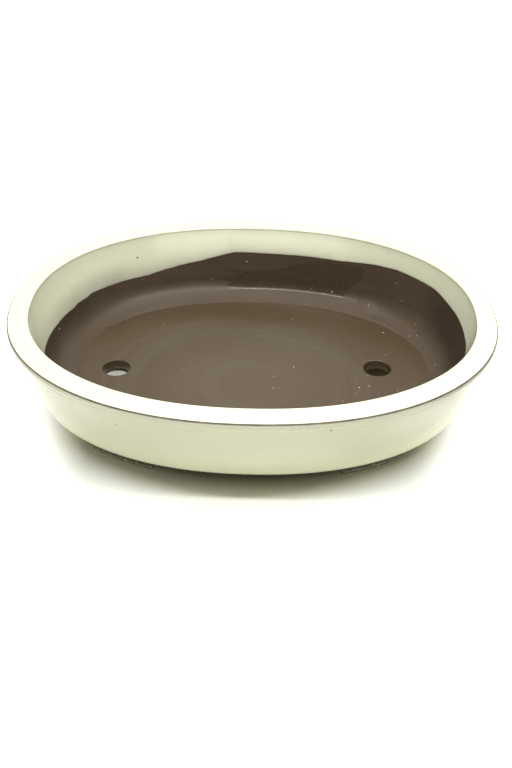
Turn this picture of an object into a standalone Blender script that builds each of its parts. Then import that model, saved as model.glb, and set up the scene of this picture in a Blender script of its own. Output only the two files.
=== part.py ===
"""Oval bonsai pot: a slab-built stoneware tray on four low feet.

The pot is made the way a potter builds one: a floor slab with two drainage holes, a wall band
stood on the slab's edge, a coil smoothed into the inside corner, a flat rim strip luted on top,
and four curved feet underneath.  A glaze coat covers the outside, and a second one covers the
rim and a band inside, which ends in a wiped line that runs deeper on the left.

Metres, +Z up.  The origin is on the ground under the centre of the pot, +X runs along its length
and -Y is its front.  Every horizontal section is the same oval, moved inwards by an `inset` that
counts from the rim's outer edge, so each piece is drawn as a section of (inset, height) points.
"""

import math

import bmesh
import bpy
from mathutils import Vector

# Driving dimensions
LENGTH = 0.300
WIDTH = 0.234
HEIGHT = 0.060
OVAL_EXPONENT = 2.16        # 2 is an ellipse, more is squarer
SEGMENTS = 72               # steps round the oval

GAP = 0.0003                # seam left between neighbouring pieces
GLAZE = 0.0006              # thickness of a glaze coat
SKIN = GAP + GLAZE          # depth of the clay below the glazed surface

RIM_WIDTH = 0.0126          # from the outer edge to the inner edge
RIM_FALL = 0.0020           # the rim's outer edge is this much lower than its inner edge
LIP_FACE = 0.0042           # height of the rim's outer face
RIM_EDGE_ROUND = 0.0006     # chamfers on the rim strip's clay edges
BARE_EDGE = 0.0004          # clay left bare either side of the rim's outer edge

FLOOR_TOP = 0.0142
FLOOR_THICKNESS = 0.0067
SLAB_TOP_UNDER_COIL = 0.0134    # the slab's edge is keyed down, so that the coil ends flush
BASE_INSET = 0.0158             # glazed wall at the bottom of its face
BASE_Z = 0.0096
TOP_INSET = 0.0050              # glazed wall where it meets the rim
NECK_Z = 0.0475                 # where the wall starts to sweep out into the rim
WALL_BULGE = 0.0011             # how far the outer wall bows out halfway up
SLAB_EDGE_ROUND = 0.0022

INNER_LEAN = 0.30           # inset that the inner wall gains per unit of depth
INNER_TOP_INSET = RIM_WIDTH - SKIN
RIM_CREST_INSET = INNER_TOP_INSET - RIM_EDGE_ROUND  # the highest clay, next to the inner edge
LIP_SEAM_Z = 0.0513         # joint between the wall band and the rim strip
COVE_RADIUS = 0.016
COIL_KEY = 0.0008           # depth of the keyed recesses that the coil's ends sit in

HOLE_RADIUS = 0.0085
HOLE_FLARE = 0.0008         # rounding of the holes' mouths
HOLE_CENTRES = ((-0.0862, -0.0044), (0.0806, 0.0029))   # cut by hand, slightly off the long axis
HOLE_SIDES = 32

FOOT_OUTER_INSET = 0.0205
FOOT_WIDTH = 0.0125
FOOT_TAPER = 0.0015
FOOT_ANGLE = math.radians(55.5)     # of a foot's middle, from the long axis
FOOT_SPAN = math.radians(21)
FOOT_STEPS = 6
FOOT_BEVEL = 0.0012

GLAZE_DEPTH = 0.0165                # of the wiped glaze line below the rim, right and rear
GLAZE_DEPTH_EXTRA = 0.0123          # how much deeper the line runs on the left
GLAZE_WAVE = 0.0012                 # rise and fall of the line elsewhere
WIPE_START = math.radians(97)       # where the line drops away from the rear, towards the left
WIPE_SPREAD = math.radians(28)
WIPE_END = math.radians(340)        # where it is back at its usual depth, along the front
WIPE_FADE = math.radians(140)
OUTER_GLAZE_BOTTOM = 0.0102

CLAY_COLOUR = (0.115, 0.082, 0.062, 1.0)
FOOT_COLOUR = (0.075, 0.055, 0.042, 1.0)
GLAZE_COLOUR = (0.665, 0.680, 0.480, 1.0)
BAND_COLOUR = (0.640, 0.660, 0.465, 1.0)


# The oval and the section lines

def oval_point(inset, angle, z):
    """Point at `angle` round the oval that lies `inset` inside the rim's outer edge."""
    c, s = math.cos(angle), math.sin(angle)
    power = 2 / OVAL_EXPONENT
    x = (LENGTH / 2 - inset) * math.copysign(abs(c) ** power, c)
    y = (WIDTH / 2 - inset) * math.copysign(abs(s) ** power, s)
    return Vector((x, y, z))


def step_angles():
    return [2 * math.pi * i / SEGMENTS for i in range(SEGMENTS)]


def outer_inset(z):
    """Inset of the wall's clay face at height z: a slope with a slight outward bow."""
    up = (z - BASE_Z) / (NECK_Z - BASE_Z)
    return BASE_INSET + (TOP_INSET - BASE_INSET) * up - 4 * WALL_BULGE * up * (1 - up) + SKIN


def inner_inset(z):
    """Inset of the wall's clay face inside at height z."""
    return INNER_TOP_INSET + INNER_LEAN * (HEIGHT - z)


def rim_top_z(inset):
    """Height of the rim strip's clay top, which falls towards its outer edge."""
    return HEIGHT - SKIN - RIM_FALL * (RIM_CREST_INSET - inset) / RIM_WIDTH


def bezier(start, control, end, steps):
    """Points of a quadratic curve, without its start."""
    points = []
    for i in range(1, steps + 1):
        t = i / steps
        points.append(start * (1 - t) ** 2 + control * 2 * t * (1 - t) + end * t ** 2)
    return points


def outer_line():
    """The bare clay outside, from the bottom of the wall's face up to the rim's outer edge."""
    wall_steps = 5
    line = []
    for i in range(wall_steps + 1):
        z = BASE_Z + (NECK_Z - BASE_Z) * i / wall_steps
        line.append(Vector((outer_inset(z), z)))
    lip_bottom = HEIGHT - RIM_FALL - LIP_FACE
    under_lip = Vector((SKIN + RIM_EDGE_ROUND, lip_bottom))
    line += bezier(line[-1], Vector((line[-1].x, lip_bottom - 0.001)), under_lip, 4)
    line.append(Vector((SKIN, lip_bottom + RIM_EDGE_ROUND)))
    line.append(Vector((SKIN, rim_top_z(SKIN))))
    return line


def inner_rim_line(lowest_z):
    """The bare clay over the rim's top and down the inner wall as far as `lowest_z`."""
    start = SKIN + BARE_EDGE
    edge_z = rim_top_z(RIM_CREST_INSET) - RIM_EDGE_ROUND
    return [
        Vector((start, rim_top_z(start))),
        Vector((RIM_CREST_INSET, rim_top_z(RIM_CREST_INSET))),
        Vector((inner_inset(edge_z), edge_z)),
        Vector((inner_inset(lowest_z), lowest_z)),
    ]


def between(line, low, high):
    """The part of a rising line that lies between two heights."""
    cut = []
    for a, b in zip(line, line[1:]):
        for z in (low, high):
            if a.y < z < b.y:
                cut.append(a.lerp(b, (z - a.y) / (b.y - a.y)))
    return sorted([p for p in line if low <= p.y <= high] + cut, key=lambda p: p.y)


def moved_left(line, distance):
    """An open line moved sideways, to the left of its direction, with mitred corners."""
    normals = [(b - a).normalized() for a, b in zip(line, line[1:])]
    normals = [Vector((-d.y, d.x)) for d in normals]
    moved = []
    for i, point in enumerate(line):
        before = normals[max(i - 1, 0)]
        after = normals[min(i, len(normals) - 1)]
        mitre = (before + after).normalized()
        moved.append(point + mitre * (distance / mitre.dot(after)))
    return moved


def coat(line):
    """Closed section of a glaze coat that lies on the left-hand side of a clay line."""
    return moved_left(line, GAP) + moved_left(line, SKIN)[::-1]


def glaze_line_z(angle):
    """Height of the lower edge of the inner glaze: wiped by hand, deeper on the left."""
    wiped = 1 - math.exp(-max(angle - WIPE_START, 0) / WIPE_SPREAD)
    back = min(max((WIPE_END - angle) / WIPE_FADE, 0), 1)
    depth = GLAZE_DEPTH + GLAZE_DEPTH_EXTRA * wiped * back * back * (3 - 2 * back)
    return HEIGHT - depth - GLAZE_WAVE * math.sin(3 * angle + 1)


def cove_arc(steps=5):
    """The coil's hollow face, from the wall down to the floor."""
    slope = math.hypot(1, INNER_LEAN)
    centre_z = FLOOR_TOP + COVE_RADIUS
    centre = Vector((inner_inset(centre_z) + COVE_RADIUS * slope, centre_z))
    first = math.pi + math.atan(INNER_LEAN)
    last = 1.5 * math.pi
    angles = [first + (last - first) * i / steps for i in range(steps + 1)]
    return [centre + COVE_RADIUS * Vector((math.cos(a), math.sin(a))) for a in angles]


# From sections to objects

def ceramic(name, colour, roughness):
    material = bpy.data.materials.new(name)
    material.use_nodes = True
    shader = material.node_tree.nodes["Principled BSDF"]
    shader.inputs["Base Color"].default_value = colour
    shader.inputs["Roughness"].default_value = roughness
    shader.inputs["Metallic"].default_value = 0.0
    return material


def add_object(name, bm, material):
    bmesh.ops.recalc_face_normals(bm, faces=bm.faces)
    mesh = bpy.data.meshes.new(name)
    bm.to_mesh(mesh)
    bm.free()
    mesh.materials.append(material)
    mesh.shade_smooth()
    mesh.set_sharp_from_angle(angle=math.radians(35))
    piece = bpy.data.objects.new(name, mesh)
    bpy.context.collection.objects.link(piece)
    return piece


def join_rings(bm, near, far, closed):
    """Quads between two rows of vertices; a closed row joins its last vertex to its first."""
    count = len(near)
    for i in range(count if closed else count - 1):
        j = (i + 1) % count
        bm.faces.new((near[i], near[j], far[j], far[i]))


def oval_ring(name, section_at, material):
    """A closed section, given as a function of the angle, swept once round the oval."""
    bm = bmesh.new()
    rings = []
    for angle in step_angles():
        rings.append([bm.verts.new(oval_point(p.x, angle, p.y)) for p in section_at(angle)])
    for near, far in zip(rings, rings[1:] + rings[:1]):
        join_rings(bm, near, far, closed=True)
    return add_object(name, bm, material)


def oval_plate(name, line, material):
    """A solid oval plate whose edge follows `line`, from its top face to its bottom face."""
    bm = bmesh.new()
    rings = [[bm.verts.new(oval_point(p.x, a, p.y)) for a in step_angles()] for p in line]
    for upper, lower in zip(rings, rings[1:]):
        join_rings(bm, upper, lower, closed=True)
    bm.faces.new(rings[0])
    bm.faces.new(rings[-1])
    return add_object(name, bm, material)


# The pieces

def floor_slab(clay):
    bottom = FLOOR_TOP - FLOOR_THICKNESS
    panel_edge = cove_arc()[-1].x + GAP
    side_inset = outer_inset(BASE_Z)
    line = [
        Vector((panel_edge, FLOOR_TOP)),
        Vector((panel_edge, SLAB_TOP_UNDER_COIL)),
        Vector((outer_inset(SLAB_TOP_UNDER_COIL), SLAB_TOP_UNDER_COIL)),
        Vector((side_inset, BASE_Z)),
        Vector((side_inset + 0.4 * SLAB_EDGE_ROUND, bottom + 0.3 * SLAB_EDGE_ROUND)),
        Vector((side_inset + SLAB_EDGE_ROUND, bottom)),
    ]
    slab = oval_plate("floor_slab", line, clay)
    for i, centre in enumerate(HOLE_CENTRES):
        cut_hole(slab, f"hole_cutter_{i + 1}", centre, bottom)
    return slab


def cut_hole(slab, name, centre, bottom):
    """Cuts a round hole with flared mouths through the slab."""
    reach = 0.001
    levels = (
        (bottom - reach, HOLE_RADIUS + HOLE_FLARE + reach),
        (bottom + HOLE_FLARE, HOLE_RADIUS),
        (FLOOR_TOP - HOLE_FLARE, HOLE_RADIUS),
        (FLOOR_TOP + reach, HOLE_RADIUS + HOLE_FLARE + reach),
    )
    bm = bmesh.new()
    rings = []
    for z, radius in levels:
        turns = [2 * math.pi * i / HOLE_SIDES for i in range(HOLE_SIDES)]
        rings.append([bm.verts.new((radius * math.cos(t), radius * math.sin(t), z)) for t in turns])
    for lower, upper in zip(rings, rings[1:]):
        join_rings(bm, lower, upper, closed=True)
    bm.faces.new(rings[0])
    bm.faces.new(rings[-1])
    cutter = add_object(name, bm, slab.data.materials[0])
    cutter.location = (*centre, 0)
    cutter.hide_render = True
    cutter.display_type = 'WIRE'
    cut = slab.modifiers.new(name, 'BOOLEAN')
    cut.operation = 'DIFFERENCE'
    cut.solver = 'EXACT'
    cut.object = cutter


def wall_band(clay):
    """The wall strip, with a keyed recess inside its foot for the corner coil."""
    bottom = SLAB_TOP_UNDER_COIL + GAP
    key_z = cove_arc()[0].y + GAP
    top = LIP_SEAM_Z - GAP / 2
    section = between(outer_line(), bottom, top)
    section.append(Vector((inner_inset(top), top)))
    section.append(Vector((inner_inset(key_z), key_z)))
    section.append(Vector((inner_inset(key_z) - COIL_KEY, key_z)))
    section.append(Vector((inner_inset(bottom) - COIL_KEY, bottom)))
    return oval_ring("wall_band", lambda angle: section, clay)


def corner_coil(clay):
    """The coil that rounds the corner between wall and floor."""
    section = cove_arc()
    bottom = SLAB_TOP_UNDER_COIL + GAP
    back = COIL_KEY - GAP
    section.append(Vector((section[-1].x, bottom)))
    section.append(Vector((inner_inset(bottom) - back, bottom)))
    section.append(Vector((section[0].x - back, section[0].y)))
    return oval_ring("corner_coil", lambda angle: section, clay)


def rim_lip(clay):
    """The flat strip that forms the rim."""
    seam = LIP_SEAM_Z + GAP / 2
    section = between(outer_line(), seam, HEIGHT)
    section += inner_rim_line(seam)[1:]
    return oval_ring("rim_lip", lambda angle: section, clay)


def glaze_outer(glaze):
    """The coat on the outer wall and the rim's outer face."""
    line = between(outer_line(), OUTER_GLAZE_BOTTOM, rim_top_z(SKIN) - BARE_EDGE)
    section = coat(line)
    return oval_ring("glaze_outer", lambda angle: section, glaze)


def glaze_rim(glaze):
    """The coat on the rim's top and on the band inside, down to the wiped line."""
    return oval_ring("glaze_rim", lambda angle: coat(inner_rim_line(glaze_line_z(angle))), glaze)


def foot(name, middle, clay):
    """A short curved bar under the slab, tapered towards the ground, with eased edges."""
    top = FLOOR_TOP - FLOOR_THICKNESS - GAP
    inner = FOOT_OUTER_INSET + FOOT_WIDTH
    corners = (
        (FOOT_OUTER_INSET, top),
        (inner, top),
        (inner - FOOT_TAPER, 0),
        (FOOT_OUTER_INSET + FOOT_TAPER, 0),
    )
    bm = bmesh.new()
    rings = []
    for i in range(FOOT_STEPS + 1):
        angle = middle + FOOT_SPAN * (i / FOOT_STEPS - 0.5)
        rings.append([bm.verts.new(oval_point(inset, angle, z)) for inset, z in corners])
    for near, far in zip(rings, rings[1:]):
        join_rings(bm, near, far, closed=True)
    bm.faces.new(rings[0])
    bm.faces.new(rings[-1])
    piece = add_object(name, bm, clay)
    bevel = piece.modifiers.new("eased_edges", 'BEVEL')
    bevel.width = FOOT_BEVEL
    bevel.segments = 2
    bevel.limit_method = 'ANGLE'
    bevel.angle_limit = math.radians(50)
    return piece


def build():
    for old in list(bpy.data.objects):
        bpy.data.objects.remove(old, do_unlink=True)

    floor_slab(ceramic("floor_clay", CLAY_COLOUR, 0.55))
    wall_band(ceramic("wall_clay", CLAY_COLOUR, 0.45))
    corner_coil(ceramic("coil_clay", CLAY_COLOUR, 0.45))
    rim_lip(ceramic("rim_clay", CLAY_COLOUR, 0.5))
    glaze_outer(ceramic("outer_glaze", GLAZE_COLOUR, 0.12))
    glaze_rim(ceramic("rim_glaze", BAND_COLOUR, 0.12))

    foot_middles = {
        "foot_rear_right": FOOT_ANGLE,
        "foot_rear_left": math.pi - FOOT_ANGLE,
        "foot_front_left": math.pi + FOOT_ANGLE,
        "foot_front_right": -FOOT_ANGLE,
    }
    for name, middle in foot_middles.items():
        foot(name, middle, ceramic(name + "_clay", FOOT_COLOUR, 0.6))


build()
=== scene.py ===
"""Studio scene of the oval bonsai pot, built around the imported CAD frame.

Each CAD node gets a finer piece of its own in the same place: the bare clay parts, with their
rounded edges, and the two glaze coats, which taper out at the rim's edge and at the wiped line.
All pieces are drawn as sections of (inset, height) points that go round one oval; `inset` counts
inwards from the rim's outer edge.  Metres, +Z up, +X along the pot, -Y is its front.
"""

import math

import bmesh
import bpy
import numpy as np
from mathutils import Matrix, Vector, noise


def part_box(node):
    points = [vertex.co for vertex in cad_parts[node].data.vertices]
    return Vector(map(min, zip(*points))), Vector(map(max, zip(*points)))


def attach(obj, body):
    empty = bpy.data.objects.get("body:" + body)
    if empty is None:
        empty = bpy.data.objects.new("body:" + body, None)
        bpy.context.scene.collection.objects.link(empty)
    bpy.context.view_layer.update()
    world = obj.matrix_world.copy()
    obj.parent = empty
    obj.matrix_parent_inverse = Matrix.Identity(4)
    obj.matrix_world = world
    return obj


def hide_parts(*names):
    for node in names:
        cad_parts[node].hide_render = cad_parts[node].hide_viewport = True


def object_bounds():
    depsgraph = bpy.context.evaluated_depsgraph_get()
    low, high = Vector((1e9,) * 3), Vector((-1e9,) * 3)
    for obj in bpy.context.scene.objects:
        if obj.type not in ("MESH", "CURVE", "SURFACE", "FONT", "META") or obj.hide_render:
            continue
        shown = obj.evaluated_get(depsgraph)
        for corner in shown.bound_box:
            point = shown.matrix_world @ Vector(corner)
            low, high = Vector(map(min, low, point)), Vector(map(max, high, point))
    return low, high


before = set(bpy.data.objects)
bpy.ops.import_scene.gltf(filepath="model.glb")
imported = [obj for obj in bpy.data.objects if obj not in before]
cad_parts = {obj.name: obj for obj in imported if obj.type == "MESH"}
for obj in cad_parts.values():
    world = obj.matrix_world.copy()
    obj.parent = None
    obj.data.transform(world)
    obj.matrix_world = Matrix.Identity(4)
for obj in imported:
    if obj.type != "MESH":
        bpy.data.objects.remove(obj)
cad_low, cad_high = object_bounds()

MM = 0.001

# The oval and the heights, from the frame
HALF_LENGTH = cad_high.x
HALF_WIDTH = cad_high.y
HEIGHT = cad_high.z
FLOOR_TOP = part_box("floor_slab")[1].z
SLAB_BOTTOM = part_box("floor_slab")[0].z
OVAL_EXPONENT = 2.16
ROUND_STEPS = 480               # steps round the oval

# The pot's section
RIM_WIDTH = 12.6 * MM
RIM_FALL = 2.0 * MM
LIP_FACE = 4.6 * MM
BASE_INSET, BASE_Z = 15.8 * MM, 9.6 * MM
TOP_INSET, NECK_Z = 5.0 * MM, 47.5 * MM
WALL_BULGE = 1.1 * MM
LIP_SEAM_Z = 51.3 * MM
SLAB_SEAM_Z = 13.5 * MM
INNER_LEAN = 0.30

GLAZE = 0.45 * MM               # thickness of the glaze
SUNK = 0.20 * MM                # how deep a coat's back is buried in the clay
OUTER_GLAZE_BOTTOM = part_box("glaze_outer")[0].z
BARE_EDGE = 0.25 * MM           # clay showing either side of the rim's outer edge
TAPER = 1.3 * MM                # length over which a coat thins out to its edge
NEAR_END = np.array([0, 0.08, 0.2, 0.4, 0.65, 0.95, 1.3, 1.8]) * MM  # fine steps at its ends
COAT_STEP = 1.2 * MM            # and about this far apart between them

# Depth of the wiped glaze line below the rim, in mm, at angles round the pot from +X
WIPED_LINE = (
    (0, 17.6), (8, 17.3), (18, 16.3), (28, 14.4), (46, 14.0), (56, 15.6), (65, 17.6), (72, 17.9),
    (78, 17.9), (95.7, 17.3), (105.6, 22.3), (123, 27.4), (147, 27.4), (149, 28.6), (155, 28.9),
    (157, 29.9), (170, 30.2), (185, 28.0), (210, 25.0), (245, 20.5), (280, 18.0), (320, 17.2),
    (344, 17.4),
)

# Where the cove breaks into the floor's slope: inset in mm at angles round the pot
COVE_CREASE = (
    (0, 35.8), (48, 35.8), (56, 27.6), (63, 26.5), (80, 26.6), (95, 26.9), (102, 29.2),
    (122, 33.4), (143, 36.6), (154, 37.6), (171, 40.0), (189, 40.0), (206, 37.6), (217, 36.0),
    (360, 35.8),
)
COVE_FOOT = (0, 37.4), (150, 37.6), (171, 41.2), (189, 41.2), (210, 37.6), (360, 37.4)
TIGHT_CREASE = 26.6 * MM        # inset of the crease where it is sharpest
WIDE_CREASE = 36.6 * MM         # and where it has nearly gone

# Larger pinholes in the glaze: place and radius, in mm
PINHOLES = (
    ((-81.1, 82.4, 46.0), 1.0), ((-72.5, -98.2, 40.8), 0.6), ((45.7, -107.5, 48.5), 0.8),
    ((105.8, -75.5, 29.6), 0.6),
)

HOLE_RADIUS = 8.5 * MM
HOLE_ROUND = 1.1 * MM
HOLE_CENTRES = ((-86.2 * MM, -4.4 * MM), (80.6 * MM, 2.9 * MM))

FOOT_INSET = 20.5 * MM
FOOT_WIDTH = 12.5 * MM
FOOT_TAPER = 1.5 * MM
FOOT_ANGLE = math.radians(55.5)
FOOT_SPAN = math.radians(21)


# Section lines

def bend(start, pull, end, t):
    """Point at share t of a curve from start to end that is drawn towards `pull`."""
    return start * (1 - t) ** 2 + pull * 2 * t * (1 - t) + end * t ** 2


def rounded(points, radii, steps=7):
    """A polyline with each inner corner rounded off over the given length."""
    points = [np.array(p, float) for p in points]
    line = [points[0]]
    for before, corner, after, radius in zip(points, points[1:], points[2:], radii):
        start = corner + (before - corner) * radius / np.linalg.norm(before - corner)
        end = corner + (after - corner) * radius / np.linalg.norm(after - corner)
        for t in np.linspace(0, 1, steps):
            line.append(bend(start, corner, end, t))
    line.append(points[-1])
    return np.array(line)


def lengths(line):
    """Distance along a line to each of its points."""
    return np.concatenate([[0], np.cumsum(np.linalg.norm(np.diff(line, axis=0), axis=1))])


def at_lengths(line, where):
    """Points at the given distances along a line."""
    along = lengths(line)
    return np.stack([np.interp(where, along, line[:, 0]), np.interp(where, along, line[:, 1])], 1)


def refined(line, longest):
    """The same line with no segment longer than `longest`."""
    along = lengths(line)
    where = [np.linspace(a, b, max(2, math.ceil((b - a) / longest) + 1))[:-1]
             for a, b in zip(along, along[1:])]
    return at_lengths(line, np.append(np.concatenate(where), along[-1]))


def normals_left(line):
    """Unit normals on the left-hand side of a line."""
    way = np.gradient(line, axis=0)
    way /= np.linalg.norm(way, axis=1)[:, None]
    return np.stack([-way[:, 1], way[:, 0]], 1)


def glazed_wall():
    """The glazed outer wall from its bottom up to the neck: a slope with a slight bow."""
    up = np.linspace(0, 1, 24)
    inset = BASE_INSET + (TOP_INSET - BASE_INSET) * up - 4 * WALL_BULGE * up * (1 - up)
    return np.stack([inset, BASE_Z + (NECK_Z - BASE_Z) * up], 1)


def glazed_outer():
    """Outer glazed surface, from the bottom of the wall to the sharp outer edge of the rim."""
    lip_z = HEIGHT - RIM_FALL - LIP_FACE
    corners = [(TOP_INSET, NECK_Z), (TOP_INSET, lip_z - 1.2 * MM), (0, lip_z),
               (0, HEIGHT - RIM_FALL)]
    return np.concatenate([glazed_wall()[:-1], rounded(corners, (3.6 * MM, 1.5 * MM))])


def glazed_inner_inset(z):
    """Inset of the glazed inner wall, which leans inwards, at a height."""
    return RIM_WIDTH + INNER_LEAN * (HEIGHT - z)


def glazed_inner(low_z):
    """Glazed surface from the rim's outer edge over its top and down the inside."""
    crest = (RIM_WIDTH + 0.1 * MM, HEIGHT)
    corners = [(0, HEIGHT - RIM_FALL), crest, (glazed_inner_inset(low_z), low_z)]
    return rounded(corners, (1.3 * MM,))


def clay_line(glazed):
    """The clay's surface under a glazed one."""
    return glazed - normals_left(glazed) * GLAZE


def inner_clay_inset(z):
    return glazed_inner_inset(z) - GLAZE * math.hypot(1, INNER_LEAN)


def round_table(table, angle):
    """A value from a table of (degrees, value), at an angle round the pot."""
    degrees, values = zip(*table)
    return float(np.interp(math.degrees(angle) % 360, degrees + (360,), values + (values[0],)))


def cove_curve(angle):
    """The cove's surface: a hollow from the wall to a crease, then a slope to the floor.

    The further in the crease is, the higher the hollow starts and the flatter it ends.
    """
    crease = round_table(COVE_CREASE, angle) * MM
    end = round_table(COVE_FOOT, angle) * MM
    share = (crease - TIGHT_CREASE) / (WIDE_CREASE - TIGHT_CREASE)
    start_z = (24 + 4 * share) * MM
    crease_z = FLOOR_TOP + (4.3 - 3.9 * min(share, 1)) * MM
    rise = math.tan(math.radians(max(38 - 30 * share, 5)))
    at_zero = inner_clay_inset(0)
    knee_z = (crease_z + rise * (crease - at_zero)) / (1 - INNER_LEAN * rise)
    start = np.array((inner_clay_inset(start_z), start_z))
    knee = np.array((inner_clay_inset(knee_z), knee_z))
    middle = np.array((crease, crease_z))
    foot = np.array((end, FLOOR_TOP))
    hollow = bend(start, knee, middle, np.linspace(0, 1, 18)[:, None])
    sag = (middle + foot) / 2 - (0, 0.3 * MM * (1 - min(share, 1)))
    slope = bend(middle, sag, foot, np.linspace(0, 1, 9)[1:, None])
    return np.concatenate([hollow, slope])


def above(line, z):
    """The part of a line above height z, cut exactly there at its lower end."""
    inside = line[line[:, 1] >= z]
    rising = line[-1, 1] > line[0, 1]
    order = line if rising else line[::-1]
    cut = np.array([[np.interp(z, order[:, 1], order[:, 0]), z]])
    return np.concatenate([cut, inside] if rising else [inside, cut])


# Meshes

def oval_xy(inset, angle):
    """Point on the oval moved inwards by `inset`, at an angle round it."""
    power = 2 / OVAL_EXPONENT
    c, s = np.cos(angle), np.sin(angle)
    x = (HALF_LENGTH - inset) * np.sign(c) * np.abs(c) ** power
    y = (HALF_WIDTH - inset) * np.sign(s) * np.abs(s) ** power
    return x, y


def hand_made(point):
    """Nudges a point by the slight unevenness of a hand-built pot, never outwards."""
    x, y, z = point
    uneven = noise.noise(Vector((x * 9, y * 9, z * 5)))
    sag = noise.noise(Vector((x * 7 + 5, y * 7, 3)))
    pull = 1 - 0.0022 * max(0, 0.5 + uneven) * min(1, z / HEIGHT)
    lift = 0.35 * MM * (sag - 0.6) * max(0, (z - FLOOR_TOP) / HEIGHT)
    return x * pull, y * pull, z + lift


def add_mesh(name, points, faces, material, values=None):
    """A smooth-shaded object from points and faces, with named values stored on its points."""
    mesh = bpy.data.meshes.new(name)
    mesh.from_pydata([hand_made(p) for p in points], [], faces)
    for key, numbers in (values or {}).items():
        mesh.attributes.new(key, 'FLOAT', 'POINT').data.foreach_set("value", numbers)
    mesh.materials.append(material)
    bm = bmesh.new()
    bm.from_mesh(mesh)
    bmesh.ops.recalc_face_normals(bm, faces=bm.faces)
    bm.to_mesh(mesh)
    bm.free()
    mesh.shade_smooth()
    mesh.set_sharp_from_angle(angle=math.radians(50))
    piece = bpy.data.objects.new(name, mesh)
    bpy.context.scene.collection.objects.link(piece)
    return piece


def grid_faces(rows, columns):
    """Quads that join rows of points, round both ways."""
    index = np.arange(rows * columns).reshape(rows, columns)
    right = np.roll(index, -1, axis=1)
    far = np.roll(index, -1, axis=0)
    both = np.roll(right, -1, axis=0)
    return np.stack([index, right, both, far], 2).reshape(-1, 4).tolist()


def capped_faces(rows, columns):
    """The faces of a tube of rows of points, with one large face on each of its two ends."""
    ends = [list(range(columns)), list(range((rows - 1) * columns, rows * columns))]
    return grid_faces(rows, columns)[:-columns] + ends


def oval_ring(name, sections, material, values=None):
    """A closed ring: sections[i] is the closed section at step i round the oval."""
    steps, count = sections.shape[:2]
    angle = np.linspace(0, 2 * math.pi, steps, endpoint=False)[:, None]
    x, y = oval_xy(sections[:, :, 0], angle)
    points = np.stack([x, y, sections[:, :, 1]], 2).reshape(-1, 3)
    return add_mesh(name, points, grid_faces(steps, count), material, values)


def same_section(section):
    """The same section, or row of values, at every step round the oval."""
    return np.broadcast_to(section, (ROUND_STEPS, *section.shape))


# Clay pieces

def rim_strip(material):
    """The flat rim, from its seam on the wall up to its bare clay edge."""
    outer = above(clay_line(glazed_outer()), LIP_SEAM_Z)
    inner = above(clay_line(glazed_inner(40 * MM)), LIP_SEAM_Z)
    section = np.concatenate([outer, inner[1:]])
    return oval_ring("clay_rim_strip", same_section(section), material)


def wall_strip(material):
    """The leaning wall between the slab's seam and the rim's."""
    outer = clay_line(glazed_outer())
    outer = above(outer[outer[:, 1] <= LIP_SEAM_Z], SLAB_SEAM_Z)
    outer = outer[[*range(0, len(outer) - 1, 3), len(outer) - 1]]   # it is under the glaze
    inner_z = np.linspace(LIP_SEAM_Z, FLOOR_TOP, 26)
    inner = np.array([(inner_clay_inset(z), z) for z in inner_z])
    corner = np.array([(inner_clay_inset(SLAB_SEAM_Z), SLAB_SEAM_Z)])
    section = np.concatenate([outer, inner, corner])
    return oval_ring("clay_wall", same_section(section), material)


def cove_coil(material):
    """The coil smoothed into the corner, with a section of its own at each step."""
    buried = 1 * MM
    sections = []
    for angle in np.linspace(0, 2 * math.pi, ROUND_STEPS, endpoint=False):
        line = cove_curve(angle)
        back = [(line[-1, 0], FLOOR_TOP - buried), (line[0, 0] - buried, FLOOR_TOP - buried),
                (line[0, 0] - buried, line[0, 1])]
        sections.append(np.concatenate([line, back]))
    return oval_ring("clay_cove", np.array(sections), material)


def base_slab(material):
    """The floor slab, closed at its centre, with its two holes cut by rounded cutters."""
    under_coil = 26 * MM            # inset of the top's outer edge, which the coil hides
    closed_at = 116 * MM            # inset of the small oval faces that close the middle
    side = clay_line(glazed_wall())[0]
    under = rounded([(side[0] - 0.6 * MM, SLAB_SEAM_Z), side + (0, 0.2 * MM),
                     (side[0] + 1.2 * MM, SLAB_BOTTOM), (60 * MM, SLAB_BOTTOM)],
                    (1 * MM, 1.1 * MM))
    top = np.stack([np.linspace(closed_at, under_coil, 22), np.full(22, FLOOR_TOP)], 1)
    corner = np.array([(under_coil, SLAB_SEAM_Z)])
    bottom = np.stack([np.linspace(62 * MM, closed_at, 14), np.full(14, SLAB_BOTTOM)], 1)
    line = np.concatenate([top, corner, under, bottom])
    steps = ROUND_STEPS // 2
    angle = np.linspace(0, 2 * math.pi, steps, endpoint=False)[None, :]
    x, y = oval_xy(line[:, :1], angle)
    z = np.broadcast_to(line[:, 1:], x.shape)
    points = np.stack([x, y, z], 2).reshape(-1, 3)
    slab = add_mesh("clay_floor_slab", points, capped_faces(len(line), steps), material)
    for number, centre in enumerate(HOLE_CENTRES):
        cut_hole(slab, f"hole_cutter_{number + 1}", centre, number)
    return slab


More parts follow.
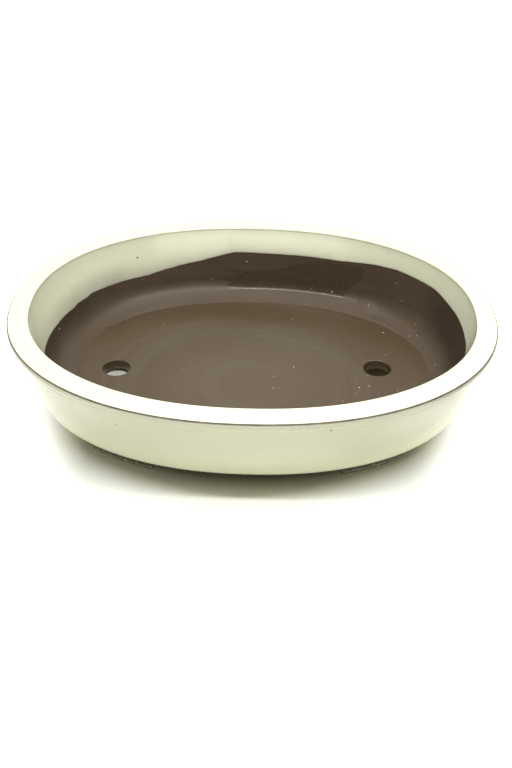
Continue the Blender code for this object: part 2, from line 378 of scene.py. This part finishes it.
def cut_hole(slab, name, centre, seed):
    """Cuts a drainage hole with rounded mouths, slightly out of round, and applies the cut."""
    turn = np.linspace(0, math.pi / 2, 7)
    flare = HOLE_ROUND * (1 - np.sin(turn))
    rise = HOLE_ROUND * (1 - np.cos(turn))
    middle_low, middle_high = SLAB_BOTTOM + HOLE_ROUND, FLOOR_TOP - HOLE_ROUND
    past = 1 * MM
    levels = [(SLAB_BOTTOM - past, HOLE_ROUND + past)]
    levels += [(SLAB_BOTTOM + r, f) for r, f in zip(rise, flare)]
    levels += [(z, 0) for z in np.linspace(middle_low, middle_high, 6)[1:-1]]
    levels += [(FLOOR_TOP - r, f) for r, f in zip(rise[::-1], flare[::-1])]
    levels += [(FLOOR_TOP + past, HOLE_ROUND + past)]
    sides = 72
    points = []
    for z, extra in levels:
        for a in np.linspace(0, 2 * math.pi, sides, endpoint=False):
            wobble = noise.noise(Vector((math.cos(a), math.sin(a), seed * 7 + z * 40)))
            radius = HOLE_RADIUS + extra + 0.22 * MM * wobble
            points.append((centre[0] + radius * math.cos(a), centre[1] + radius * math.sin(a), z))
    cutter = add_mesh(name, points, capped_faces(len(levels), sides), slab.data.materials[0])
    cut = slab.modifiers.new(name, 'BOOLEAN')
    cut.operation = 'DIFFERENCE'
    cut.solver = 'EXACT'
    cut.object = cutter
    bake_modifiers(slab)
    bpy.data.objects.remove(cutter)


def bake_modifiers(piece):
    """Applies a piece's modifiers to its mesh."""
    shape = piece.evaluated_get(bpy.context.evaluated_depsgraph_get())
    mesh = bpy.data.meshes.new_from_object(shape)
    piece.modifiers.clear()
    piece.data = mesh


def foot(name, middle, material):
    """A short curved bar with eased edges and rounded ends, luted under the slab."""
    top = SLAB_BOTTOM + 0.6 * MM
    low_out, low_in = FOOT_INSET + FOOT_TAPER, FOOT_INSET + FOOT_WIDTH - FOOT_TAPER
    flare = 1.1 * MM
    outline = [(FOOT_INSET + FOOT_WIDTH / 2, 0), (low_out, 0), (FOOT_INSET, SLAB_BOTTOM - flare),
               (FOOT_INSET - flare, top), (FOOT_INSET + FOOT_WIDTH + flare, top),
               (FOOT_INSET + FOOT_WIDTH, SLAB_BOTTOM - flare), (low_in, 0),
               (FOOT_INSET + FOOT_WIDTH / 2 + 0.1 * MM, 0)]
    line = rounded(outline, (1.3 * MM, 1.2 * MM, 0.1 * MM, 0.1 * MM, 1.2 * MM, 1.3 * MM), 5)
    line = refined(line, 1 * MM)
    centre = np.array([FOOT_INSET + FOOT_WIDTH / 2, top / 2])
    stations = np.linspace(0.055, 0.945, 30)
    rows = []
    for place, size in end_sizes(stations):
        section = centre + (line - centre) * size
        x, y = oval_xy(section[:, 0], middle + FOOT_SPAN * (place - 0.5))
        rows.append(np.stack([x, y, section[:, 1]], 1))
    points = np.concatenate(rows)
    lumps = np.array([noise.noise(Vector(p) * 160) * 0.22 * MM for p in points])
    points[:, 2] = np.maximum(points[:, 2] + lumps * (points[:, 2] > 0.3 * MM), 0)
    return add_mesh(name, points, capped_faces(len(rows), len(line)), material)


def end_sizes(stations):
    """Places along a foot with the section's size at each: rounded off towards both ends."""
    reach = stations[0]
    first = [(reach * (1 - math.cos(t)), np.array([0.72 + 0.28 * math.sin(t), 1]))
             for t in np.linspace(0, math.pi / 2, 8)]
    last = [(1 - place, size) for place, size in reversed(first)]
    return first + [(s, np.array([1, 1])) for s in stations[1:-1]] + last


# Glaze coats

def wiped_z(angle):
    """Height of the inner glaze's lower edge: straight strokes of a sponge, slightly uneven."""
    uneven = [noise.noise(Vector((math.cos(a) * 9, math.sin(a) * 9, 1.7))) * 0.22
              + noise.noise(Vector((math.cos(a) * 34, math.sin(a) * 34, 4.2))) * 0.10
              for a in angle]
    depth = np.array([round_table(WIPED_LINE, a) for a in angle])
    return HEIGHT - MM * (depth - np.array(uneven))


def fine_ends(total):
    """Lengths along a coat's line, close together towards both ends."""
    middle = np.linspace(NEAR_END[-1], total - NEAR_END[-1], math.ceil(total / COAT_STEP))
    return np.concatenate([NEAR_END[:-1], middle, (total - NEAR_END[:-1])[::-1]])


def hidden_back(rows):
    """Every fourth row and the last one, in reverse: enough for a coat's hidden back."""
    return rows[sorted({*range(0, len(rows), 4), len(rows) - 1}, reverse=True)]


def with_back(rows):
    """Values for a coat's front points, then the same ones for its hidden back."""
    return np.concatenate([rows, hidden_back(rows)])


def coat(line, thickness):
    """Closed section of a coat over a clay line, buried a little at its back."""
    side = normals_left(line)
    front = line + side * thickness[:, None]
    return np.concatenate([front, hidden_back(line - side * SUNK)])


def tapered(along, total):
    """Share of the full thickness: round-shouldered at both ends."""
    near = np.clip(np.minimum(along, total - along) / TAPER, 0, 1)
    return 0.12 + 0.88 * np.sqrt(1 - (1 - near) ** 2)


def fading(distance, reach):
    """1 at a line on a coat, fading to nothing on either side of it."""
    return np.exp(-(distance / reach) ** 2)


def ripple(sections, front, amount):
    """Uneven glaze thickness: sinks the front points of each section by smooth noise."""
    steps = len(sections)
    angle = np.linspace(0, 2 * math.pi, steps, endpoint=False)
    for i in range(steps):
        line = sections[i, :front]
        side = normals_left(line)
        x, y = oval_xy(line[:, 0], angle[i])
        wave = [noise.noise(Vector((a * 16, b * 16, z * 30))) for a, b, z in zip(x, y, line[:, 1])]
        sections[i, :front] = line - side * (amount * (0.5 + 0.5 * np.array(wave)))[:, None]


def outer_coat(material):
    """Glaze on the outside: painted paler towards the bottom to offset shade there; greyer at the
    pot's two ends.
    """
    line = clay_line(glazed_outer())
    line = above(line, OUTER_GLAZE_BOTTOM + GLAZE)
    total = lengths(line)[-1] - BARE_EDGE
    along = fine_ends(total)
    line = at_lengths(line, along)
    section = coat(line, GLAZE * tapered(along, total))
    sections = same_section(section).copy()
    front = len(line)
    ripple(sections, front, 0.05 * MM)
    to_top = total - along
    edge = fading(to_top, 0.5 * MM) + 0.75 * fading(along, 0.5 * MM)
    thin = 0.24 * fading(to_top, 5 * MM)
    # Paler low on the wall: painted light that offsets the shade near the ground.
    painted_light = 0.92 * fading(along, 18 * MM)
    angle = np.linspace(0, 2 * math.pi, ROUND_STEPS, endpoint=False)[:, None]
    at_ends = np.where(np.cos(angle) > 0, 1.05, 0.78) * np.abs(np.cos(angle)) ** 1.5
    high = 1 - fading(along, 14 * MM)
    values = {"edge": same_section(with_back(edge)),
              "thin": with_back(thin) + with_back(high) * at_ends,
              "painted_light": same_section(with_back(painted_light))}
    values = {key: numbers.ravel() for key, numbers in values.items()}
    return oval_ring("glaze_coat_outer", sections, material, values)


def rim_coat(material):
    """Glaze over the rim and down the inside: greyer where thin, a dark line where it breaks, paler
    where highlights are painted.
    """
    steps = ROUND_STEPS * 5 // 4
    angle = np.linspace(0, 2 * math.pi, steps, endpoint=False)
    over_rim = clay_line(glazed_inner(45 * MM))
    top_length = lengths(over_rim)[-2]
    crest = top_length - BARE_EDGE
    sections, edges, thins, rim_painted_lights = [], [], [], []
    for a, low_z in zip(angle, wiped_z(angle)):
        drop = over_rim[-2, 1] - low_z
        total = top_length + drop * math.hypot(1, INNER_LEAN) - BARE_EDGE
        line = np.concatenate([over_rim[:-1], [(inner_clay_inset(low_z), low_z)]])
        along = fine_ends_and_crest(total, crest)
        points = at_lengths(line, along + BARE_EDGE)
        sections.append(coat(points, GLAZE * tapered(along, total)))
        to_end = total - along
        edge = fading(along, 0.5 * MM)
        edge += 0.55 * fading(along - crest - 0.1 * MM, 0.42 * MM)
        edge += 0.25 * fading(to_end, 0.35 * MM)
        inside = along > crest
        left = fading(math.degrees(a) - 145, 34)
        rear = fading(math.degrees(a) - 88, 36)
        thin = (0.12 + 0.16 * rear + 0.72 * left) * fading(to_end, 8.5 * MM) * inside
        thin += 0.34 * fading(along - crest, 3.2 * MM) * inside
        # Painted highlights: a paler streak down the left band, a paler rear band and a paler rim
        # top.
        painted_highlight_streak = 0.42 * left * fading(to_end - 15 * MM, 6 * MM)
        rim_painted_light = rear * (1 - fading(to_end, 4 * MM))
        rim_painted_light = np.where(inside, np.maximum(rim_painted_light, painted_highlight_streak), 0.55)
        edges.append(with_back(edge))
        thins.append(with_back(thin))
        rim_painted_lights.append(with_back(rim_painted_light))
    sections = np.array(sections)
    ripple(sections, len(along), 0.04 * MM)
    values = {"edge": np.concatenate(edges), "thin": np.concatenate(thins),
              "painted_light": np.concatenate(rim_painted_lights)}
    return oval_ring("glaze_coat_rim", sections, material, values)


def fine_ends_and_crest(total, crest):
    """Like fine_ends, close together at the crest too, with the same number every time."""
    on_crest = crest + np.linspace(-1.4, 1.4, 12) * MM
    top = np.linspace(NEAR_END[-1], on_crest[0], 12)[1:-1]
    wall = np.linspace(on_crest[-1], total - NEAR_END[-1], 34)[1:]
    return np.concatenate([NEAR_END, top, on_crest, wall, (total - NEAR_END[:-1])[::-1]])


# Materials

class Nodes:
    """Short names for the node types that the materials use."""

    def __init__(self, name):
        self.material = bpy.data.materials.new(name)
        self.material.use_nodes = True
        self.tree = self.material.node_tree
        self.shader = self.tree.nodes["Principled BSDF"]
        self.place = self.add('ShaderNodeTexCoord').outputs["Object"]
        split = self.add('ShaderNodeSeparateXYZ', {"Vector": self.place})
        self.x, self.y, self.z = split.outputs

    def add(self, kind, inputs=None, **settings):
        node = self.tree.nodes.new(kind)
        for key, value in settings.items():
            setattr(node, key, value)
        for key, value in (inputs or {}).items():
            self.put(node.inputs[key], value)
        return node

    def put(self, socket, value):
        """Links or sets a socket, whichever the value calls for."""
        if isinstance(value, bpy.types.NodeSocket):
            self.tree.links.new(value, socket)
        else:
            socket.default_value = value

    def set(self, **inputs):
        for key, value in inputs.items():
            self.put(self.shader.inputs[key.replace("_", " ")], value)

    def math(self, operation, a, b=0.0):
        return self.add('ShaderNodeMath', {0: a, 1: b}, operation=operation).outputs[0]

    def vector(self, operation, *inputs):
        """A vector worked out from others."""
        inputs = dict(enumerate(inputs))
        return self.add('ShaderNodeVectorMath', inputs, operation=operation).outputs[0]

    def length(self, vector):
        node = self.add('ShaderNodeVectorMath', {0: vector}, operation='LENGTH')
        return node.outputs["Value"]

    def noise(self, scale, detail=2.0, stretch=(1, 1, 1), place=None, rough=0.5, offset=0.0):
        shift = (offset, offset, offset)
        moved = self.vector('MULTIPLY_ADD', place or self.place, stretch, shift)
        inputs = {"Vector": moved, "Scale": scale, "Detail": detail, "Roughness": rough}
        return self.add('ShaderNodeTexNoise', inputs).outputs["Fac"]

    def band(self, value, low, high, to_low=0.0, to_high=1.0):
        """A smooth step of a value from `to_low` at `low` to `to_high` at `high`."""
        inputs = {0: value, 1: low, 2: high, 3: to_low, 4: to_high}
        node = self.add('ShaderNodeMapRange', inputs, interpolation_type='SMOOTHSTEP')
        return node.outputs[0]

    def mix(self, factor, a, b):
        node = self.add('ShaderNodeMix', data_type='RGBA')
        self.put(node.inputs[0], factor)
        self.put(node.inputs[6], a)
        self.put(node.inputs[7], b)
        return node.outputs[2]

    def specks(self, scale, size, share):
        """Sparse round specks: 1 inside a speck, on about `share` of the cells."""
        cells = self.add('ShaderNodeTexVoronoi', {"Vector": self.place, "Scale": scale})
        dot = self.band(cells.outputs["Distance"], size, size * 0.6)
        colour = self.add('ShaderNodeSeparateColor', {0: cells.outputs["Color"]})
        chosen = self.math('LESS_THAN', colour.outputs[0], share)
        return self.math('MULTIPLY', dot, chosen)

    def dot(self, centre, radius):
        """1 inside a small sphere round a point given in mm, 0 outside it."""
        inputs = {0: self.place, 1: [c * MM for c in centre]}
        away = self.add('ShaderNodeVectorMath', inputs, operation='DISTANCE').outputs["Value"]
        return self.band(away, radius, radius * 0.5)

    def value(self, name):
        """A number stored on the mesh's points."""
        return self.add('ShaderNodeAttribute', attribute_name=name).outputs["Fac"]

    def bump(self, height, distance, strength):
        inputs = {"Height": height, "Distance": distance, "Strength": strength}
        return self.add('ShaderNodeBump', inputs).outputs[0]


CELADON = (0.625, 0.640, 0.462, 1)
CELADON_PALE = (0.725, 0.735, 0.548, 1)
# Paler glaze colour, used where light is painted.
CELADON_PAINTED_LIGHT = (0.830, 0.830, 0.595, 1)
CELADON_COOL = (0.595, 0.615, 0.455, 1)
CELADON_THIN = (0.340, 0.322, 0.245, 1)
BREAK_BROWN = (0.090, 0.070, 0.045, 1)
CLAY = (0.068, 0.047, 0.028, 1)
CLAY_DARK = (0.039, 0.027, 0.017, 1)
CLAY_GREY = (0.073, 0.055, 0.039, 1)
CLAY_FLOOR = (0.062, 0.041, 0.020, 1)
# Paler floor colour: a painted sheen.
CLAY_FLOOR_PAINTED_SHEEN = (0.085, 0.061, 0.034, 1)
CLAY_FLOOR_RUBBED = (0.100, 0.077, 0.048, 1)
# The feet are the same clay as the pot: their darker colours are painted shade, the pale low one
# painted light.
FOOT_PAINTED_SHADE_DARK = (0.026, 0.020, 0.013, 1)
FOOT_PAINTED_SHADE = (0.050, 0.038, 0.026, 1)
FOOT_PAINTED_LIGHT_LOW = (0.34, 0.31, 0.22, 1)
CLAY_SHINE = (1.0, 0.88, 0.74, 1)
FLOOR_SHINE = (1.0, 0.93, 0.83, 1)
GRIT = (0.55, 0.46, 0.32, 1)
KILN_GRIT = (0.62, 0.57, 0.42, 1)


def celadon(name):
    """Glossy pale glaze: cloudy tone, thinner and greyer in places, brown where it breaks, paler
    where light is painted.
    """
    n = Nodes(name)
    colour = n.mix(n.band(n.noise(14, 3), 0.35, 0.68, 0, 0.25), CELADON, CELADON_PALE)
    # Painted light: paler glaze where the mesh's stored value asks for it.
    colour = n.mix(n.value("painted_light"), colour, CELADON_PAINTED_LIGHT)
    colour = n.mix(n.band(n.noise(38, 4, offset=7), 0.45, 0.75, 0, 0.30), colour, CELADON_COOL)
    thin = n.math('MULTIPLY', n.value("thin"), n.band(n.noise(30, 4, offset=3), 0.25, 0.7, 0.6, 1))
    colour = n.mix(thin, colour, CELADON_THIN)
    uneven = n.band(n.noise(120, 3, offset=11), 0.3, 0.7, 0.8, 1.05)
    colour = n.mix(n.math('MULTIPLY', n.value("edge"), uneven), colour, BREAK_BROWN)
    pinholes = n.specks(110, 0.055, 0.035)
    for centre, radius in PINHOLES:
        pinholes = n.math('MAXIMUM', pinholes, n.dot(centre, radius * MM))
    colour = n.mix(n.math('MULTIPLY', pinholes, 0.8), colour, BREAK_BROWN)
    peel = n.noise(170, 2)
    height = n.math('SUBTRACT', n.math('MULTIPLY', peel, 0.35), pinholes)
    n.set(Base_Color=colour, Roughness=n.band(n.noise(55, 3), 0.3, 0.7, 0.07, 0.17),
          IOR=1.52, Normal=n.bump(height, 0.10 * MM, 0.6))
    return n.material


def fired_clay(name, rough, patchy=False):
    """Bare purple-brown stoneware: mottled, smoothed in strokes, with fine pale grit."""
    n = Nodes(name)
    mottled = n.band(n.noise(26, 5, rough=0.6), 0.3, 0.72, 0, 0.45)
    colour = n.mix(mottled, CLAY, CLAY_DARK)
    strokes = n.noise(1.0, 4, stretch=(9, 9, 260), offset=2)
    colour = n.mix(n.band(strokes, 0.42, 0.75, 0, 0.55), colour, CLAY_GREY)
    roughness = n.band(n.noise(40, 4, offset=9), 0.3, 0.7, rough - 0.02, rough + 0.05)
    if patchy:
        patch = wet_wiped_patch(n)
        dark = n.math('MAXIMUM', n.math('MULTIPLY', patch, 0.75), darker_ends(n))
        colour = n.mix(dark, colour, CLAY_DARK)
        roughness = n.math('SUBTRACT', roughness, n.math('MULTIPLY', patch, 0.16))
    return finish_clay(n, colour, roughness, strokes)


def finish_clay(n, colour, roughness, strokes, shine=0.32, tint=CLAY_SHINE, rough_tooth=0.22):
    """Adds what all bare clay shares: fine tooth, grain and pale grit."""
    tooth = n.band(n.noise(600, 2), 0.35, 0.65, -1, 1)
    grain = n.band(n.noise(650, 3, offset=5), 0.45, 0.75, 0, 0.55)
    colour = n.mix(grain, colour, CLAY_GREY)
    grit = n.math('MAXIMUM', n.specks(150, 0.085, 0.20), n.specks(230, 0.085, 0.13))
    colour = n.mix(grit, colour, GRIT)
    height = n.math('ADD', n.math('MULTIPLY', tooth, rough_tooth), n.math('MULTIPLY', strokes, 0.6))
    height = n.math('ADD', height, n.math('MULTIPLY', grit, 1.2))
    n.set(Base_Color=colour, Roughness=roughness, Specular_IOR_Level=shine,
          Specular_Tint=tint, Normal=n.bump(height, 0.08 * MM, 0.5))
    return n.material


def floor_clay(name):
    """The floor's flatter, browner clay, with a painted sheen: paler just in front of the middle.
    """
    n = Nodes(name)
    from_middle = n.vector('ADD', n.place, (0, 20 * MM, 0))
    away = n.length(n.vector('MULTIPLY', from_middle, (0.95, 1.1, 0)))
    # Paler round a spot just in front of the middle: a painted sheen.
    painted_light_paler = n.band(n.math('ADD', away, n.math('MULTIPLY', n.noise(12, 4), 0.02)), 0.085, 0.035)
    colour = n.mix(painted_light_paler, CLAY_FLOOR, CLAY_FLOOR_PAINTED_SHEEN)
    colour = n.mix(n.band(n.noise(26, 5, rough=0.6), 0.35, 0.75, 0, 0.30), colour, CLAY)
    around = n.add('ShaderNodeCombineXYZ', {0: n.math('MULTIPLY', away, 9), 1: n.x, 2: 0.5})
    strokes = n.noise(9.0, 4, place=around.outputs[0], offset=2)
    colour = n.mix(n.band(strokes, 0.50, 0.72, 0, 0.4), colour, CLAY_FLOOR_RUBBED)
    roughness = n.band(n.noise(34, 4, offset=9), 0.3, 0.7, 0.285, 0.33)
    return finish_clay(n, colour, roughness, strokes, 0.36, FLOOR_SHINE, 0.10)


def wet_wiped_patch(n):
    """A smoother, darker stroke along the rear wall and cove, ragged at its left end."""
    ragged = n.math('MULTIPLY', n.noise(1.0, 3, stretch=(14, 14, 420), offset=6), 0.052)
    left = n.band(n.math('ADD', n.x, ragged), 6 * MM, 12 * MM)
    reach = n.band(n.z, 20 * MM, 37 * MM, 63 * MM, 76 * MM)
    inside_right = n.band(n.math('SUBTRACT', reach, n.x), -1.5 * MM, 2.5 * MM)
    top = n.band(n.x, 0, 55 * MM, 31 * MM, 41.5 * MM)
    below_top = n.band(n.math('SUBTRACT', top, n.z), -0.8 * MM, 1.6 * MM)
    above_crease = n.band(n.z, 17.3 * MM, 18.3 * MM)
    rear = n.band(n.y, 0.0, 10 * MM)
    patch = left
    for limit in (inside_right, below_top, above_crease, rear):
        patch = n.math('MULTIPLY', patch, limit)
    return patch


def darker_ends(n):
    """Soft darker clay high on the wall at both ends of the pot."""
    out = n.math('SUBTRACT', n.math('MULTIPLY', n.noise(22, 4, offset=5), 0.03), n.x)
    out = n.math('MAXIMUM', out, n.math('ADD', n.x, 4 * MM))
    far = n.band(out, 114 * MM, 128 * MM, 0, 0.8)
    return n.math('MULTIPLY', far, n.band(n.z, 15 * MM, 23 * MM))


def foot_clay(name):
    """Clay painted dark as painted shade; its lower face painted pale, painted light, with pale
    kiln grit along the foot's lower edge.
    """
    n = Nodes(name)
    # Darker than the rest of the clay: painted shade.
    colour = n.mix(n.band(n.noise(70, 5), 0.3, 0.7), FOOT_PAINTED_SHADE_DARK, FOOT_PAINTED_SHADE)
    ragged = n.math('ADD', n.z, n.math('MULTIPLY', n.noise(260, 4), 3 * MM))
    above_sole = n.band(n.z, 0.1 * MM, 0.7 * MM, 0.4, 1)
    # Pale lower face: painted light, lifting the shaded face to the tone of the shaded ground.
    painted_light_paler = n.math('MULTIPLY', n.band(ragged, 5.8 * MM, 4.0 * MM), above_sole)
    colour = n.mix(n.math('MULTIPLY', painted_light_paler, 0.9), colour, FOOT_PAINTED_LIGHT_LOW)
    crumbs = n.math('MULTIPLY', n.band(n.noise(420, 3), 0.56, 0.64), painted_light_paler)
    colour = n.mix(crumbs, colour, KILN_GRIT)
    height = n.noise(500, 4)
    n.set(Base_Color=colour, Roughness=n.band(n.noise(80, 3), 0.3, 0.7, 0.5, 0.7),
          Normal=n.bump(height, 0.25 * MM, 0.7))
    return n.material


def ground_paper():
    """White sweep with painted light: warm near the pot, a painted bounce off the glaze, glowing
    beside the pot, in front, further out like a light tent's walls, and faintly in its shadow.

    It is there only while the camera is above it, which leaves the pot's underside open.
    """
    n = Nodes("sweep_white")
    away = n.length(n.place)
    aside = n.math('ABSOLUTE', n.x)
    # The glow is painted light: the paper shines beside the pot's ends, in front and further out.
    beside_pot = n.math('MULTIPLY', n.band(aside, 0.090, 0.148, 0, 0.93),
                        n.band(aside, 0.14, 0.20, 1, 0.2))
    in_front = n.band(n.y, -0.13, -0.26, 0, 0.75)
    glow = n.math('MAXIMUM', beside_pot, n.band(away, 0.16, 0.60, 0, 0.9))
    glow = n.math('MAXIMUM', glow, in_front)
    beside = n.length(n.vector('MULTIPLY', n.place, (1 / HALF_LENGTH, 1 / HALF_WIDTH, 0)))
    # A faint warm glow over the pot's shadow: painted light lifting the shade.
    glow = n.math('ADD', glow, n.band(beside, 0.77, 0.86, 0, 0.052))
    out = n.math('MAXIMUM', n.band(beside, 0.80, 1.0), n.band(aside, 0.098, 0.122, 0, 0.8))
    # Warm paper and glow inside the shadow: a painted bounce of light off the glaze.
    paper_with_painted_bounce = n.mix(out, (0.85, 0.84, 0.54, 1), (0.85, 0.855, 0.80, 1))
    n.set(Base_Color=paper_with_painted_bounce, Roughness=0.9, Emission_Strength=glow,
          Emission_Color=n.mix(out, (1, 1, 0.6, 1), (1, 1, 1, 1)))
    clear = n.add('ShaderNodeBsdfTransparent').outputs[0]
    eye = n.add('ShaderNodeVectorTransform', {0: (0, 0, 0)}, vector_type='POINT',
                convert_from='CAMERA', convert_to='WORLD').outputs[0]
    height = n.add('ShaderNodeSeparateXYZ', {0: eye}).outputs[2]
    below = n.math('LESS_THAN', height, 0.0)
    mixed = n.add('ShaderNodeMixShader', {0: below, 1: n.shader.outputs[0], 2: clear})
    n.tree.links.new(mixed.outputs[0], n.tree.nodes["Material Output"].inputs[0])
    return n.material


# Stage

def sweep(material):
    """The flat white ground, a hair below the feet."""
    bm = bmesh.new()
    bmesh.ops.create_grid(bm, x_segments=8, y_segments=8, size=4)
    mesh = bpy.data.meshes.new("sweep")
    bm.to_mesh(mesh)
    bm.free()
    mesh.materials.append(material)
    piece = bpy.data.objects.new("sweep", mesh)
    piece.location.z = -0.05 * MM
    bpy.context.scene.collection.objects.link(piece)
    return piece


def aim(light, place, target, lights_only):
    """Puts a light in its place, facing a target; it may light one object only."""
    piece = bpy.data.objects.new(light.name, light)
    piece.location = place
    piece.rotation_euler = (Vector(target) - Vector(place)).to_track_quat('-Z', 'Y').to_euler()
    piece.visible_camera = False
    if lights_only:
        receivers = bpy.data.collections.new(light.name + "_receivers")
        receivers.objects.link(lights_only)
        piece.light_linking.receiver_collection = receivers
    bpy.context.scene.collection.objects.link(piece)


def lamp(name, place, target, size, watts, lights_only=None):
    """A rectangular soft light; `size` is its width and depth."""
    light = bpy.data.lights.new(name, 'AREA')
    light.shape = 'RECTANGLE'
    light.size, light.size_y = size
    light.energy = watts
    aim(light, place, target, lights_only)


def glint(name, place, target, watts, lights_only):
    """A narrow cool beam through a drainage hole, which only the ground below it shows."""
    light = bpy.data.lights.new(name, 'SPOT')
    light.spot_size, light.spot_blend = math.radians(2.6), 0.1
    light.shadow_soft_size = 1 * MM
    light.color = (0.88, 0.93, 1.25)
    light.energy = watts
    aim(light, place, target, lights_only)


def light_tent(front, back, sides, below, seen):
    """Surroundings bright at the back, dim at the sides and in front, seen as plain white."""
    world = bpy.data.worlds.new("light_tent")
    bpy.context.scene.world = world
    world.use_nodes = True
    tree = world.node_tree
    tree.nodes.clear()

    def node(kind, *inputs, **settings):
        made = tree.nodes.new(kind)
        for key, value in settings.items():
            setattr(made, key, value)
        for socket, value in zip(made.inputs, inputs):
            if isinstance(value, bpy.types.NodeSocket):
                tree.links.new(value, socket)
            else:
                socket.default_value = value
        return made

    way = node('ShaderNodeSeparateXYZ', node('ShaderNodeTexCoord').outputs["Generated"])
    flat = node('ShaderNodeCombineXYZ', way.outputs[0], way.outputs[1], 0.0).outputs[0]
    flat = node('ShaderNodeVectorMath', flat, operation='NORMALIZE').outputs[0]
    turn = node('ShaderNodeSeparateXYZ', flat)
    sideways = node('ShaderNodeMath', turn.outputs[0], operation='ABSOLUTE').outputs[0]
    sideways = node('ShaderNodeMapRange', sideways, 0.60, 0.85, 0.0, 1.0).outputs[0]
    ends = node('ShaderNodeMapRange', turn.outputs[1], -0.3, 0.3, front, back).outputs[0]
    wide = node('ShaderNodeMapRange', sideways, 0.0, 1.0, ends, sides).outputs[0]
    light = node('ShaderNodeMapRange', way.outputs[2], -0.05, 0.05, below, wide).outputs[0]
    seen_by_camera = node('ShaderNodeLightPath').outputs["Is Camera Ray"]
    white = (1, 1, 1, 1)
    lit = node('ShaderNodeBackground', white, light).outputs[0]
    plain = node('ShaderNodeBackground', white, seen).outputs[0]
    mixed = node('ShaderNodeMixShader', seen_by_camera, lit, plain).outputs[0]
    node('ShaderNodeOutputWorld', mixed)


def camera():
    """A close view from the front, looking down at the pot by about 36 degrees."""
    data = bpy.data.cameras.new("camera")
    data.lens = 51.0
    data.sensor_width = 36
    piece = bpy.data.objects.new("camera", data)
    heading = Matrix.Rotation(math.radians(0.86), 4, 'Z')
    tilt = Matrix.Rotation(math.radians(90 - 35.58), 4, 'X')
    roll = Matrix.Rotation(math.radians(1.03), 4, 'Z')
    piece.matrix_world = Matrix.Translation((0.0116, -0.5728, 0.4109)) @ heading @ tilt @ roll
    data.clip_start, data.clip_end = 0.01, 50
    bpy.context.scene.collection.objects.link(piece)
    bpy.context.scene.camera = piece


# Assembly

def stand_in(piece, node):
    """Fixes a piece to the pot's one body, in the stead of its CAD node."""
    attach(piece, "root")
    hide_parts(node)


bpy.context.scene.view_settings.view_transform = 'Standard'

stand_in(base_slab(floor_clay("clay_floor")), "floor_slab")
stand_in(wall_strip(fired_clay("clay_wall", 0.38, patchy=True)), "wall_band")
stand_in(cove_coil(fired_clay("clay_cove", 0.38, patchy=True)), "corner_coil")
stand_in(rim_strip(fired_clay("clay_rim", 0.5)), "rim_lip")
stand_in(outer_coat(celadon("celadon_outer")), "glaze_outer")
rim_glaze = rim_coat(celadon("celadon_rim"))
stand_in(rim_glaze, "glaze_rim")

FOOT_MIDDLES = {
    "rear_right": FOOT_ANGLE,
    "rear_left": math.pi - FOOT_ANGLE,
    "front_left": math.pi + FOOT_ANGLE,
    "front_right": -FOOT_ANGLE,
}
# The feet's material holds painted shade and painted light.
feet_clay_painted_shade = foot_clay("clay_foot")
for corner, middle in FOOT_MIDDLES.items():
    stand_in(foot(f"clay_foot_{corner}", middle, feet_clay_painted_shade), f"foot_{corner}")

ground = sweep(ground_paper())
light_tent(front=0.17, back=1.00, sides=0.23, below=0.9, seen=1.1)
lamp("strip_in_front", (0.06, -0.190, 0.66), (0.06, -0.02, 0), (0.80, 0.036), 4.1)
lamp("panel_overhead", (0.06, 0.06, 0.68), (0.06, 0.06, 0), (0.80, 0.50), 3.4)
lamp("side_left", (-0.34, 0.10, 0.16), (0, 0.10, 0.10), (0.46, 0.30), 0.14)
lamp("side_right", (0.34, 0.10, 0.16), (0, 0.10, 0.10), (0.46, 0.30), 0.10)
lamp("low_in_front", (0.05, -1.20, 0.17), (0.05, 0, 0.05), (1.60, 0.16), 1.6, rim_glaze)
glint("under_left_hole", (-0.001, -0.500, 0.500), (*HOLE_CENTRES[0], FLOOR_TOP), 15.5, ground)
camera()
